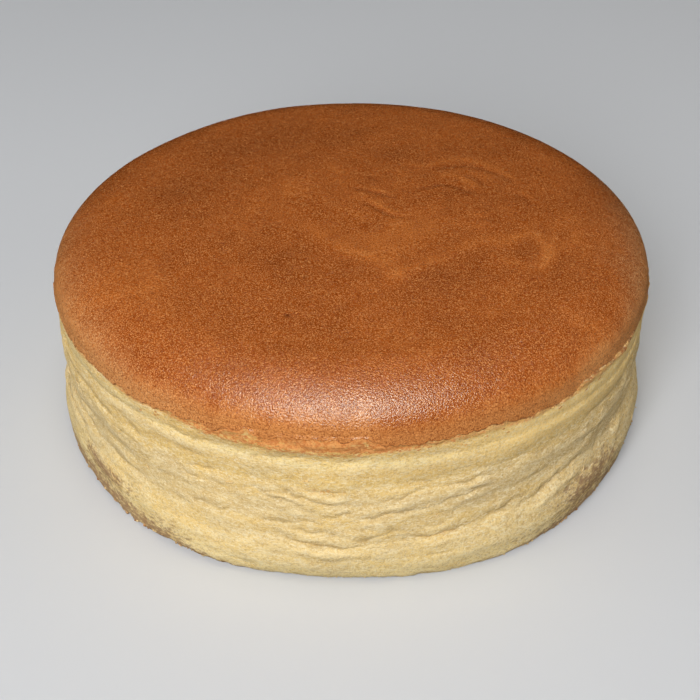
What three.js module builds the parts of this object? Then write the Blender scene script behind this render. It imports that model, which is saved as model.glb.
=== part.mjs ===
// A whole, round, uncut cotton cheesecake: one solid, from its flat underside up to its browned dome.
// Millimetres, +Z up. The origin is the middle of the underside and the front faces -Y.
// Angles run round the cake from the front, and grow towards +X.

import * as THREE from 'three';

// Overall form.
const SHOULDER_RADIUS = 100.6; // widest radius of the browned shoulder
const SHOULDER_HEIGHT = 57.4; // height of that widest radius
const SHOULDER_REACH = 21; // how far in the shoulder's curve runs
const SHOULDER_RISE = 12.5; // how far up it runs
const DOME_RISE = 6.5; // how much further up the middle of the top is
const SIDE_TILT = 0.009; // the right side has risen a little more than the left

// Wall, between the underside and the browned skin.
const UNDERSIDE_RADIUS = 99.3;
const FOOT_HEIGHT = 3.2; // height of the rounded lower edge
const FOOT_RADIUS = 101.2;
const BELLY_HEIGHT = 12;
const BELLY_RADIUS = 101.8;
const WAIST_HEIGHT = 46;
const WAIST_RADIUS = 98.4;
const WALL_STEPS = [
  { height: FOOT_HEIGHT, radius: FOOT_RADIUS },
  { height: BELLY_HEIGHT, radius: BELLY_RADIUS },
  { height: WAIST_HEIGHT, radius: WAIST_RADIUS },
  { height: SHOULDER_HEIGHT, radius: SHOULDER_RADIUS },
];
const FOOT_WAVE = 0.8; // the lower edge runs in and out by this much
const FOOT_WAVES = 6;
const FOOT_WAVE_HEIGHT = 16; // the wave dies out at this height

// Browned skin's lower edge, which wavers and stands a little proud of the wall.
const CRUST_EDGE_HEIGHT = 52.2;
const CRUST_EDGE_WAVES = [
  { size: 1.5, count: 2, phase: 0.3 },
  { size: 0.5, count: 11, phase: 1.1 },
];
const CRUST_OVERHANG = 0.7;
const CRUST_LIP = 0.6; // height of the skin's torn lip

// Creases that run round the wall, from the bottom up. They sag together three times round the cake,
// the first time at the front, and each wanders by a ripple of its own.
const SAGS = 3;
const CREASES = [
  { height: 13.4, sag: 2.8, ripple: 0.5, ripples: 5, phase: 0.6, depth: 0.5 },
  { height: 19.9, sag: 3.4, ripple: 0.5, ripples: 7, phase: 2.1, depth: 1.1 },
  { height: 25, sag: 2.2, ripple: 0.5, ripples: 8, phase: 4.0, depth: 0.7 },
  { height: 29.6, sag: 1.6, ripple: 0.4, ripples: 7, phase: 5.2, depth: 0.8 },
  { height: 33.9, sag: 1.3, ripple: 0.5, ripples: 9, phase: 4.7, depth: 0.8 },
  { height: 38.3, sag: 0.6, ripple: 0.5, ripples: 6, phase: 1.3, depth: 0.6 },
  { height: 47.8, sag: -0.3, ripple: 0.5, ripples: 10, phase: 0.9, depth: 0.8 },
];
const CREASE_FADE = 0.45; // share of a crease's depth that comes and goes round the cake
const FADES = 4;
const PILLOW = 0.17; // how far a fold bulges out between two creases, for each millimetre of its height
const PILLOW_ROUNDNESS = 0.7;

// How finely the surface is divided.
const SEGMENTS = 108;
const ROWS_PER_FOLD = 4;
const FOOT_ROWS = 3;
const LOWER_WALL_ROWS = 3;
const PEELED_ROWS = 2;
const SHOULDER_ROWS = 7;
const DOME_RINGS = [
  { share: 0.8, segments: 54 },
  { share: 0.54, segments: 54 },
  { share: 0.27, segments: 27 },
];

const SKIN_COLOUR = 0xa55a2b;
const ROUGHNESS = 0.55;

const smooth = (t) => t * t * (3 - 2 * t);
const mix = (a, b, t) => a + (b - a) * t;

// Radius of the wall without its folds.
function wallRadius(height) {
  if (height < FOOT_HEIGHT) {
    return mix(UNDERSIDE_RADIUS, FOOT_RADIUS, Math.sqrt(1 - (1 - height / FOOT_HEIGHT) ** 2));
  }
  const upper = Math.max(1, WALL_STEPS.findIndex((step) => step.height >= height));
  const below = WALL_STEPS[upper - 1];
  const above = WALL_STEPS[upper];
  const share = (height - below.height) / (above.height - below.height);
  return mix(below.radius, above.radius, smooth(THREE.MathUtils.clamp(share, 0, 1)));
}

// Height of the top surface at a radius, shoulder and dome together.
function topHeight(radius) {
  const inset = THREE.MathUtils.clamp((radius - SHOULDER_RADIUS + SHOULDER_REACH) / SHOULDER_REACH, 0, 1);
  const shoulder = SHOULDER_RISE * Math.sqrt(1 - inset ** 2);
  const dome = DOME_RISE * (1 - (radius / SHOULDER_RADIUS) ** 2);
  return SHOULDER_HEIGHT + shoulder + dome;
}

function creaseHeight(crease, angle) {
  const sag = crease.sag * Math.cos(SAGS * angle);
  return crease.height - sag + crease.ripple * Math.sin(crease.ripples * angle + crease.phase);
}

function creaseDepth(crease, angle) {
  return crease.depth * (1 - CREASE_FADE + CREASE_FADE * Math.sin(FADES * angle + crease.phase));
}

function crustEdgeHeight(angle) {
  const wave = (sum, each) => sum + each.size * Math.cos(each.count * angle + each.phase);
  return CRUST_EDGE_WAVES.reduce(wave, CRUST_EDGE_HEIGHT);
}

// One point of the fold between two creases. share runs from 0 at the lower crease to 1 at the upper.
function foldPoint(lower, upper, share, angle) {
  const low = creaseHeight(lower, angle);
  const high = creaseHeight(upper, angle);
  const height = mix(low, high, share);
  const depth = mix(creaseDepth(lower, angle), creaseDepth(upper, angle), share);
  const bulge = PILLOW * (high - low) * Math.sin(Math.PI * share) ** PILLOW_ROUNDNESS;
  return { radius: wallRadius(height) - depth + bulge, height };
}

// The profile's points at one angle, from the underside's edge up to the shoulder's inner end.
function profile(angle) {
  const points = [];
  for (let i = 0; i < FOOT_ROWS; i += 1) {
    const height = FOOT_HEIGHT * (1 - Math.cos((Math.PI / 2) * (i / FOOT_ROWS)));
    points.push({ radius: wallRadius(height), height });
  }
  const first = CREASES[0];
  for (let i = 0; i < LOWER_WALL_ROWS; i += 1) {
    const share = i / LOWER_WALL_ROWS;
    const height = mix(FOOT_HEIGHT, creaseHeight(first, angle), share);
    points.push({ radius: wallRadius(height) - creaseDepth(first, angle) * share ** 3, height });
  }
  for (let k = 0; k + 1 < CREASES.length; k += 1) {
    for (let i = 0; i < ROWS_PER_FOLD; i += 1) {
      points.push(foldPoint(CREASES[k], CREASES[k + 1], i / ROWS_PER_FOLD, angle));
    }
  }
  const last = CREASES[CREASES.length - 1];
  const edge = crustEdgeHeight(angle);
  for (let i = 0; i <= PEELED_ROWS; i += 1) {
    const share = i / PEELED_ROWS;
    const height = mix(creaseHeight(last, angle), edge, share);
    points.push({ radius: wallRadius(height) - creaseDepth(last, angle) * (1 - share), height });
  }
  points.push({ radius: wallRadius(edge) + CRUST_OVERHANG, height: edge + CRUST_LIP });
  for (let i = 0; i <= SHOULDER_ROWS; i += 1) {
    const turn = (Math.PI / 2) * (i / SHOULDER_ROWS);
    const radius = SHOULDER_RADIUS - SHOULDER_REACH * (1 - Math.cos(turn));
    points.push({ radius, height: topHeight(radius) });
  }
  return points;
}

// A point of the cake from its angle, radius and height, with its uneven foot and its tilt to one side.
function place(angle, radius, height) {
  const foot = Math.max(0, 1 - height / FOOT_WAVE_HEIGHT);
  const outline = radius - FOOT_WAVE * foot * Math.cos(FOOT_WAVES * angle);
  const x = outline * Math.sin(angle);
  const y = -outline * Math.cos(angle);
  const risen = Math.min(1, height / SHOULDER_HEIGHT);
  return [x, y, height + SIDE_TILT * x * risen];
}

const angleOf = (i, segments) => (2 * Math.PI * i) / segments;

// Joins two rings of vertices. The inner ring has as many vertices as the outer one, or half as many.
function joinRings(outer, inner, triangles) {
  const ratio = outer.count / inner.count;
  for (let i = 0; i < inner.count; i += 1) {
    const a = inner.start + i;
    const b = inner.start + ((i + 1) % inner.count);
    const c = outer.start + ((i * ratio) % outer.count);
    const d = outer.start + (((i + 1) * ratio) % outer.count);
    if (ratio === 1) {
      triangles.push(c, d, b, c, b, a);
    } else {
      const middle = outer.start + i * ratio + 1;
      triangles.push(c, middle, a, middle, b, a, middle, d, b);
    }
  }
}

// Closes a ring with a fan round one middle vertex.
function closeRing(ring, middle, facesUp, triangles) {
  for (let i = 0; i < ring.count; i += 1) {
    const here = ring.start + i;
    const next = ring.start + ((i + 1) % ring.count);
    if (facesUp) {
      triangles.push(here, next, middle);
    } else {
      triangles.push(next, here, middle);
    }
  }
}

function cakeGeometry() {
  const positions = [];
  const triangles = [];
  const rings = [];
  const columns = [];
  for (let i = 0; i < SEGMENTS; i += 1) {
    columns.push(profile(angleOf(i, SEGMENTS)));
  }
  for (let row = 0; row < columns[0].length; row += 1) {
    rings.push({ start: positions.length / 3, count: SEGMENTS });
    for (let i = 0; i < SEGMENTS; i += 1) {
      const { radius, height } = columns[i][row];
      positions.push(...place(angleOf(i, SEGMENTS), radius, height));
    }
  }
  const domeRadius = SHOULDER_RADIUS - SHOULDER_REACH;
  for (const { share, segments } of DOME_RINGS) {
    rings.push({ start: positions.length / 3, count: segments });
    for (let i = 0; i < segments; i += 1) {
      positions.push(...place(angleOf(i, segments), domeRadius * share, topHeight(domeRadius * share)));
    }
  }
  const topMiddle = positions.length / 3;
  positions.push(0, 0, topHeight(0));
  const undersideMiddle = positions.length / 3;
  positions.push(0, 0, 0);

  for (let row = 0; row + 1 < rings.length; row += 1) {
    joinRings(rings[row], rings[row + 1], triangles);
  }
  closeRing(rings[rings.length - 1], topMiddle, true, triangles);
  closeRing(rings[0], undersideMiddle, false, triangles);

  const geometry = new THREE.BufferGeometry();
  geometry.setAttribute('position', new THREE.Float32BufferAttribute(positions, 3));
  geometry.setIndex(triangles);
  geometry.computeVertexNormals();
  return geometry;
}

// Puts the origin under the middle of the cake's own box.
function centre(geometry) {
  geometry.computeBoundingBox();
  const middle = geometry.boundingBox.getCenter(new THREE.Vector3());
  geometry.translate(-middle.x, -middle.y, -geometry.boundingBox.min.z);
}

const geometry = cakeGeometry();
centre(geometry);

const cake = new THREE.Mesh(
  geometry,
  new THREE.MeshStandardMaterial({ color: SKIN_COLOUR, roughness: ROUGHNESS, metalness: 0 }),
);
cake.name = 'cheesecake';

const group = new THREE.Group();
group.add(cake);

export default group;
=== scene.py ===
import math
from collections import namedtuple

import bpy
import numpy as np
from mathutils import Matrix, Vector


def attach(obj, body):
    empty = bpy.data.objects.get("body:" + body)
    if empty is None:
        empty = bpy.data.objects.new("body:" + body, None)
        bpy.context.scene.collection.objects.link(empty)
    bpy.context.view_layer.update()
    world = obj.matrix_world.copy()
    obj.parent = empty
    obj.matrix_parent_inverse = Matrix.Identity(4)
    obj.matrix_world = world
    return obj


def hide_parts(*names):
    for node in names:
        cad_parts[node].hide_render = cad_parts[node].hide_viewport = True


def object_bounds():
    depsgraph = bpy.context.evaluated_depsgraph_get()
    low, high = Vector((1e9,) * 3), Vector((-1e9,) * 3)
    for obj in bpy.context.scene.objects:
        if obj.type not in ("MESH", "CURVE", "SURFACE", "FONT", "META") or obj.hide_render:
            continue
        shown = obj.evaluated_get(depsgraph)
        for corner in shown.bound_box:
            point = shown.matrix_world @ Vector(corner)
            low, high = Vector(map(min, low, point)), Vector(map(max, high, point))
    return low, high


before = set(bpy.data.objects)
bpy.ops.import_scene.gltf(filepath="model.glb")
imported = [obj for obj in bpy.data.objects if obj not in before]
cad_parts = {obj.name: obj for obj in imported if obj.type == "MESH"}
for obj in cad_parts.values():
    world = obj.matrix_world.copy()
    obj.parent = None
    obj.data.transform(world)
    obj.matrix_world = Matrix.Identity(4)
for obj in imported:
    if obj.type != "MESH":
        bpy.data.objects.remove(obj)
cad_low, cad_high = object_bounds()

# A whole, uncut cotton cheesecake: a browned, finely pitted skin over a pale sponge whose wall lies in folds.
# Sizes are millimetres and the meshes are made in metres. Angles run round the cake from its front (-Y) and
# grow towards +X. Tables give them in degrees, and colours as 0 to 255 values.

METRE = 0.001
NODE = "cheesecake"

# ---- overall form, as in the solid
WIDEST = (cad_high.x - cad_low.x) / METRE / 2
SHOULDER_RADIUS = 100.6
SHOULDER_HEIGHT = 57.4
SHOULDER_REACH = 21.0
SHOULDER_RISE = 12.5
DOME_RISE = 6.5
SIDE_TILT = 0.009
UNDERSIDE_RADIUS = 99.3
FOOT_HEIGHT = 3.2
WALL_STEPS = [(FOOT_HEIGHT, 101.2), (12.0, 101.8), (46.0, 98.4), (SHOULDER_HEIGHT, SHOULDER_RADIUS)]
FOOT_WAVE = 0.8
FOOT_WAVES = 6
FOOT_WAVE_HEIGHT = 16.0

# ---- the wall's own shape, for the looks only
# It swells out again under the skin: height, spread and how far.
UPPER_SWELL = (50.5, 4.5, 0.8)
# At the sides it tapers more than at the front: how far out it moves at each height.
SIDE_FROM = 20.0
SIDE_FULL = 60.0
SIDE_PROFILE = [
    (0, -0.1), (8, -0.7), (12, -0.9), (20, -1.6), (25, -1.7), (29, -1.0), (33, 0.3), (38, 0.9), (42, 0.7),
    (46, 1.1), (52, 0.5), (57.4, 0),
]
# On the right of the front it stays full up to the skin.
RIGHT_PROFILE = [(0, 0), (18, 0), (38, 0.9), (42, 1.2), (46, 1.2), (49, 0.75), (52, 0.2), (54, 0)]
# Broad bands that bulge: height of the lower and upper end, and how far out.
BANDS = [(38.0, 48.0, 0.65), (0.0, 20.0, 1.1)]
BAND_ROUNDNESS = 1.2
# The folds sag together three times round the cake: by this much at each height.
SAGS = 3
SAG_BY_HEIGHT = [
    (0, 0), (13.4, 2.8), (19.9, 3.4), (25, 2.2), (29.6, 1.6), (33.9, 1.3), (38.3, 0.6), (47.8, 0), (60, 0),
]

# ---- the skin's torn lower edge: its height at each angle
SKIN_EDGE = [
    (-180, 53.0), (-150, 54.2), (-125, 53.8), (-100, 55.4), (-80, 56.0), (-64, 55.3), (-58, 55.0),
    (-51, 55.6), (-46, 54.2), (-40, 53.4), (-34, 54.6), (-27, 54.5), (-23.5, 53.9), (-20, 56.0),
    (-15, 55.2), (-9, 55.8), (2, 56.2), (6, 54.8), (9.5, 53.4), (16, 53.6), (22, 53.2), (28, 53.4),
    (34, 52.4), (40, 53.4), (44, 54.4), (48, 55.2), (52, 54.4), (57, 54.2), (62, 54.8), (80, 56.2),
    (105, 55.4), (130, 53.4), (155, 54.0), (180, 53.0),
]
# Under it the skin has peeled: how low the peeled band reaches, and how much brown is left on it.
PEELED = [
    (-180, 49.2, 0.45), (-140, 50.2, 0.5), (-110, 51.8, 0.3), (-80, 53.4, 0.12), (-60, 52.6, 0.1),
    (-50, 52.9, 0.12), (-42, 51.2, 0.2), (-35, 51.4, 0.35), (-28, 50.4, 0.5), (-22, 48.5, 0.6),
    (-19, 48.4, 0.75), (-16, 47.1, 0.8), (-13, 48.0, 0.85), (-10, 48.9, 0.9), (-6, 49.5, 0.95),
    (-4, 48.4, 1.0), (-1, 47.7, 1.0), (2, 48.3, 1.0), (5, 48.7, 0.9), (8, 49.0, 0.5), (11, 49.2, 0.28),
    (16, 49.6, 0.22), (20, 49.8, 0.22), (28, 50.4, 0.2), (36, 50.2, 0.22), (44, 51.0, 0.3), (52, 51.4, 0.3),
    (60, 51.6, 0.2), (80, 53.4, 0.12), (120, 50.8, 0.5), (150, 50.2, 0.4), (180, 49.2, 0.45),
]
# Height of the brown that is left on it.
BROWN_HEIGHT = [
    (-180, 51.6), (-100, 53.8), (-60, 53.6), (-40, 52.0), (-24, 52.4), (-18, 52.4), (-10, 52.7), (0, 52.6),
    (5, 52.0), (9, 51.6), (22, 51.0), (34, 50.8), (44, 52.4), (60, 53.0), (80, 54.4), (120, 52.4),
    (180, 51.6),
]
# Painted sheen on the skin's rim, paler where light falls and reflects: how pale, and how far up from its
# edge.
PAINTED_RIM_SHEEN = [
    (-180, 0.4, 9), (-110, 0.6, 15), (-76, 0.65, 17), (-52, 0.8, 16), (-36, 0.6, 12), (-20, 0.1, 8),
    (24, 0.0, 6), (44, 0.4, 8), (58, 0.7, 12), (72, 1.2, 18), (110, 1.2, 16), (150, 0.5, 9), (180, 0.4, 9),
]
SKIN_OVERHANG = 0.22
SKIN_THICKNESS = 0.7
SPONGE_INSET = 1.3

# ---- the toasted foot, with painted shade low on the wall at the sides: how high it reaches
TOAST_AND_SHADE_REACH = [
    (-180, 4), (-150, 7), (-120, 3), (-90, 6), (-66, 14), (-54, 17), (-44, 16), (-36, 12), (-28, 7),
    (-20, 2.5), (-14, 0.8), (20, 0.7), (30, 4), (38, 9), (48, 14), (60, 14), (80, 6), (105, 4), (135, 8),
    (160, 3), (180, 4),
]
# Darker patches over it, scorch and painted shade in hollows: angle, height, width in degrees, how tall and
# how dark.
SCORCH_AND_SHADE = [
    (-53, 12.5, 12.0, 5.2, 0.95), (-35, 6.0, 9.0, 7.5, 0.7), (50, 11.0, 15.0, 11.0, 0.95),
    (33, 7.0, 8.0, 5.0, 0.58), (140, 9.0, 16.0, 4.0, 0.8), (-120, 8.0, 12.0, 4.0, 0.7),
]

# ---- folds of the wall: points as angle and height, then depth, reach up and down, and how stained
Fold = namedtuple("Fold", "points depth reach stain")
FRONT_FOLDS = [
    # over the bright ridge low on the wall
    Fold([(-66, 25.5), (-53, 24), (-45, 23), (-35, 22.7), (-28, 21), (-21, 20.1), (-14, 19.4), (-9, 17.6),
          (-3, 16.3), (3, 16.8), (9, 18.5), (15, 17.9), (20, 18.6), (26, 20), (33, 20.4), (38, 22.5),
          (46, 23.3), (66, 24.5)], 1.15, 1.2, 0.35),
    # the soft one under that ridge
    Fold([(-66, 17.5), (-50, 17.8), (-42, 17.8), (-34, 15.5), (-26, 15), (-20, 12.2), (-13, 11.4), (-3, 10.6),
          (6, 11.2), (13, 12.6), (20, 12.2), (28, 13), (36, 14.6), (44, 17.5), (60, 18)], 0.45, 1.9, 0.1),
    Fold([(-17, 21.4), (-10, 21.8), (-6, 20.9), (-4, 21.5), (-1, 19.4), (3, 19.3), (7, 21.2), (12, 21.6),
          (18, 21.5), (25, 21.4), (33, 23), (38, 25)], 0.75, 0.9, 0.2),
    Fold([(-32, 24.6), (-22, 23.6), (-16, 23.3), (-12, 24.2), (-7, 25), (-1, 24.4)], 0.45, 1.0, 0.1),
    Fold([(-1, 26), (5, 27.1), (9, 28.3), (13, 29.1), (18, 30.6), (24, 31.4), (31, 31.4), (37, 32.6),
          (42, 34.5)], 0.85, 0.9, 0.35),
    Fold([(-9, 27.3), (-5, 27.1), (-2, 27.8), (2, 28.4), (5, 29.2)], 0.9, 0.8, 0.6),
    Fold([(-2, 29.8), (2, 30.8), (5, 31.7), (8, 33.4), (12, 34.9), (15, 35.2), (19, 34.6), (24, 35.6),
          (29, 35.2)], 0.95, 0.8, 0.1),
    Fold([(-22, 33.2), (-14, 34.4), (-10, 34), (-7, 32.6), (-4, 32.1), (2, 31.9)], 0.75, 0.8, 0.0),
    Fold([(-29, 32.6), (-18, 32.3), (-14, 32.1), (-11, 31), (-9, 29.8), (-7, 28.4)], 0.7, 0.8, 0.1),
    Fold([(-66, 37), (-57, 37.4), (-52, 36), (-45, 35.7), (-39, 35.3), (-34, 34.4), (-29, 33.2),
          (-23, 32.8)], 0.9, 0.9, 0.0),
    # under the smooth yellow band
    Fold([(-43, 37.5), (-35, 36.8), (-31, 36), (-25, 36.7), (-20, 37.5), (-14, 36.6), (-9, 36.3), (-4, 36.2),
          (1, 36.6), (5, 37.6), (10, 38.6), (14, 37.2), (18, 36.5), (23, 37.6), (30, 38.3), (36, 37.4),
          (40, 38.6), (44, 39.7), (52, 39.5), (64, 40.8)], 0.6, 1.1, 0.5),
    Fold([(-64, 41.2), (-54, 41), (-50, 39.4), (-46, 36.8)], 0.6, 1.0, 0.1),
    Fold([(-47, 41.5), (-42, 39.7), (-39, 37.2)], 0.5, 0.9, 0.1),
    Fold([(-40, 41), (-32, 41.4), (-28, 41.2), (-24, 40)], 0.3, 0.8, 0.5),
    Fold([(-60, 34), (-48, 33.8), (-40, 33.6)], 0.5, 0.8, 0.0),
    Fold([(-54, 31.5), (-44, 31.6), (-36, 30.8)], 0.4, 0.8, 0.0),
    Fold([(-50, 28.6), (-40, 28.4), (-35, 28.4), (-30, 29)], 0.45, 0.8, 0.1),
    Fold([(-62, 28.8), (-52, 27), (-46, 26), (-39, 26.6)], 0.45, 0.8, 0.1),
    Fold([(20, 25.4), (26, 24.2), (31, 24.2), (36, 24), (39, 26.3), (44, 27.8), (53, 28.6)], 0.6, 0.9, 0.1),
    Fold([(23, 26.6), (29, 27.6), (34, 28.3), (40, 29.8)], 0.4, 0.8, 0.0),
    Fold([(43, 25.6), (50, 26.2), (62, 25.6)], 0.45, 0.8, 0.0),
    Fold([(33, 34.4), (38, 36.2), (43, 38.6)], 0.5, 0.8, 0.4),
    Fold([(41, 31.6), (50, 31), (62, 32)], 0.5, 0.8, 0.1),
    # under the peeled rim
    Fold([(-66, 47.6), (-50, 47.8), (-36, 47.2), (-22, 47.4), (-17, 46.4), (-12, 47.8),
          (-7, 48.3), (-2, 46.9),
          (4, 47.9), (11, 46.9), (20, 47.6), (32, 46.8), (44, 47.6), (66, 46.8)], 0.35, 1.1, 0.2),
]
# The rest of the wall: long creases that carry on from the front ones, as height, depth and reach, short ones
# between them, and hair creases all over.
BACK_FROM = 56.0
BACK_TO = 304.0
LONG_CREASES = [
    (13.4, 0.45, 1.9), (19.9, 1.1, 1.2), (25.0, 0.7, 0.9), (29.6, 0.8, 0.9), (33.9, 0.85, 0.9),
    (38.3, 0.6, 1.1), (47.6, 0.35, 1.1),
]
SHORT_CREASES = 46
SHORT_LENGTH = (16.0, 60.0)
SHORT_HEIGHTS = (17.0, 41.5)
HAIR_CREASES = 260
HAIR_LENGTH = (3.0, 15.0)
HAIR_HEIGHTS = (4.0, 46.0)
# A fold's section, as shares of its depth: the cut, the lip over it, the roll under it and how far it droops.
CUT_SHARE = 0.65
LIP_SHARE = 0.42
ROLL_SHARE = 0.45
DROOP_SHARE = 0.45
FOLD_END = 5.0  # it fades out over so many degrees at each end

# ---- swirls of the top, in plan: points, width, how much paler and how much higher
Stroke = namedtuple("Stroke", "points width tone relief")
SWIRLS = [
    # the pale V that opens towards the back, and its hook
    Stroke([(-16, -8), (-11, -17), (-7, -23.5), (-1.5, -28.5), (4.5, -31.5), (10, -34), (13.5, -37.5),
            (14.5, -41), (12.5, -46), (10, -51)], 3.6, 0.6, 0.03),
    Stroke([(11, -44), (15.5, -41.5), (21, -38), (27, -33), (33.5, -28.5), (41, -23.5), (46.5, -21.5),
            (53, -20.5)], 3.1, 0.65, 0.04),
    Stroke([(50, -24), (55.5, -17.5), (59, -15.5), (62, -19), (63, -26), (61.5, -33.5),
            (59.5, -39.5)], 2.1, 0.6, 0.05),
    Stroke([(45.5, -30), (49.5, -33), (52.5, -36.5)], 1.9, 0.4, 0.02),
    Stroke([(71, -4), (67, -15), (65, -25.5), (62, -36)], 2.3, 0.45, 0.03),
    Stroke([(72, 2), (75, -8), (73, -18), (68, -28)], 2.4, 0.4, 0.03),
    # the swirl on the right
    Stroke([(20, 31), (25, 28), (29.5, 30), (35.5, 34), (41.5, 34.5), (47.5, 31), (52.5, 26),
            (56, 19.5)], 2.0, 0.6, 0.08),
    Stroke([(30.5, 26), (36, 29), (42.5, 29), (47, 27), (52.5, 22.5), (56, 17)], 1.1, -0.85, -0.13),
    Stroke([(34, 24.5), (40, 25.5), (46, 22.5), (49, 17)], 1.5, 0.4, 0.05),
    Stroke([(29, 19), (34.5, 22), (38.5, 20), (42, 15), (44, 10.5)], 1.9, 0.75, 0.1),
    Stroke([(24.5, 11.5), (29.5, 14), (33.5, 14.5), (37.5, 11.5), (41.5, 8.5)], 1.0, -0.95, -0.17),
    Stroke([(41, 21.5), (44, 18), (45, 14)], 1.0, -0.65, -0.09),
    Stroke([(55.5, 13), (60, 9.5), (62.5, 4)], 1.4, 0.45, 0.05),
    Stroke([(55.5, 9.5), (59, 7), (61, 3)], 1.0, -0.65, -0.08),
    Stroke([(24.5, -2), (26, 5.5), (31, 8.5), (34, 4), (32.5, -3.5), (29, -6.5)], 1.3, -0.35, -0.03),
    Stroke([(42.5, -5.5), (47, -4)], 1.1, 0.5, 0.05),
    Stroke([(42, -7.5), (49, -8.5)], 1.2, -0.5, -0.05),
    Stroke([(44, 48), (47, 42), (50, 38)], 1.8, 0.35, 0.04),
    # short creases left of it
    Stroke([(1, 11.5), (5, 9.5), (9.5, 7), (14, 5.5)], 0.85, -0.9, -0.17),
    Stroke([(5.5, 11.3), (8, 9.8), (12, 8.2)], 0.9, 0.7, 0.08),
    Stroke([(4, 2.5), (8, -2), (12, -6), (15, -7.5), (19.5, -8)], 0.95, -0.75, -0.15),
    Stroke([(5.5, 4), (9.5, -0.5), (13.5, -4), (17, -5.5)], 1.4, 0.65, 0.11),
    Stroke([(5.5, 19.5), (9.5, 15)], 1.0, -0.8, -0.12),
    Stroke([(-7, 27.5), (-3, 22), (1, 24)], 2.4, 0.45, 0.04),
    Stroke([(9, 56), (9, 41)], 2.4, 0.35, 0.03),
    Stroke([(62, -38), (67, -32), (72, -24)], 2.6, -0.6, -0.03),
]
# Soft blots of tone: x, y, spread and how much paler.
BLOTS = [
    (-20, 11, 7, 0.45), (-32, 5, 7, 0.35), (20, -14, 12, 0.45), (42, -12, 12, 0.4), (8, -20, 9, 0.3),
    (12, -33, 8, 0.35), (8, -14, 4.5, -0.75), (-48, 40, 13, -0.6), (-60, 12, 9, -0.55), (-22, 52, 18, -0.4),
    (15, 38, 7, -0.65), (2, 54, 5, -0.5), (-17, 32, 5, -0.45), (84, 14, 12, -0.6), (40, -35, 9, -0.6),
    (26, -45, 8, -0.5), (56, -28, 4.5, -0.75), (-20, -36, 11, -0.45), (-2, -42, 7, -0.35),
    (55, 5, 4, -0.45), (48, -6, 4, -0.35), (58, 55, 16, -0.35), (-52, 28, 28, -0.3), (-34, -22, 12, -0.2),
    (-74, -42, 16, 0.7), (-36, -84, 15, -0.25), (60, -66, 16, 0.3),
]
# Small dark dents: x, y, spread and how dark.
BLEMISHES = [
    (-19.4, -61.9, 0.8, 1.0), (-14.5, -42.7, 0.5, 0.7), (41, -52, 0.5, 0.6), (-52, -33, 0.5, 0.6),
    (12, -70, 0.5, 0.7), (-38, 18, 0.5, 0.5), (66, 30, 0.6, 0.6), (-5, 72, 0.6, 0.6),
]

# ---- unevenness. Along a line round the cake: strength, how many cells round it, and seed.
EDGE_TEARS = [(0.6, 90, 11), (0.6, 240, 12), (0.6, 560, 13), (0.4, 1100, 16)]
CREASE_WANDER = [(0.34, 110, 21), (0.24, 290, 22), (0.14, 620, 23)]
PEELED_WANDER = [(0.5, 80, 14)]
BROWN_WANDER = [(0.4, 60, 15)]
# Over the wall: strength, how many cells round the cake, height of a cell, and seed.
CREASE_RAGGED = [(0.5, 260, 1.3, 24), (0.4, 520, 0.9, 25)]
WALL_CRUMB = [(0.3, 14, 16, 1), (0.08, 260, 2.2, 4), (0.07, 450, 1.4, 5)]
FOLDED_CRUMB = [(0.42, 18, 6.5, 10), (0.22, 40, 4.5, 2), (0.16, 110, 3.2, 3)]
PEELED_STREAKS = [(1.0, 150, 1.0, 6), (0.7, 330, 0.9, 7)]
FOOT_WAVER = [(0.35, 90, 3, 8)]
FOOT_CRUMB = [(1.0, 300, 1.6, 9)]
# Over the flattened-out top: strength, size of a cell, and seed.
SKIN_RELIEF = [(0.28, 30, 51), (0.10, 11, 52), (0.035, 3.4, 53), (0.02, 1.9, 54)]
SWIRL_WARP = 0.6
SWIRL_WARP_CELL = 9
NOISE_GAIN = 1.9
NOISE_TOP = 80.0
PLAN_REACH = 125.0

# ---- how finely the meshes are divided
WALL_COLUMNS = 800
WALL_ROWS = [
    (0.0, FOOT_HEIGHT, 7), (FOOT_HEIGHT, 14.0, 17), (14.0, 39.0, 62), (39.0, 47.0, 13),
    (47.0, SHOULDER_HEIGHT, 18),
]
CAP_RADII = (97.5, 86.0, 45.0, 2.0)  # under the skin
CAP_DROP = 2.2
UNDERSIDE_RADII = (97.0, 2.0)
SKIN_COLUMNS = 1440
SKIN_LIP_ROWS = 9
SKIN_SHOULDER_ROWS = 36
SKIN_SHOULDER_THIN = 2
SKIN_DOME_STEPS = [(40.0, 40, 2), (20.0, 20, 4), (0.9, 19, 8)]  # inner radius, rings, and columns left out
SKIN_INSIDE_RADII = (97.0, 92.0, 84.0, 60.0, 30.0, 2.0)
SKIN_INSIDE_DROP = 1.1
STRIPS = 3  # the wall is unwrapped in so many
UV_MARGIN = 0.006
UV_CORNER = 0.07

# ---- loose bits
CRUMBS = 560
FIBRES = 44
FRONT_FIBRES = [(42.6, 36.4), (52.5, 36.2), (48.8, 26.8), (57.0, 24.0), (-39.5, 27.0), (-27.0, 27.4)]
FLAKES = 90
LUMP_RINGS = [(-0.9, 0.45), (-0.25, 1.0), (0.45, 0.85), (0.95, 0.3)]  # height and width

# ---- camera, as the photograph's, in pixels and millimetres
IMAGE_SIDE = 700
FOCAL_PIXELS = 1450.0
HORIZON_ROW = -692.4
MIDDLE_COLUMN = 350.94
AIM_HEIGHT = 16.0
CAMERA_DISTANCE = 522.2
SENSOR = 36.0

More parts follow.
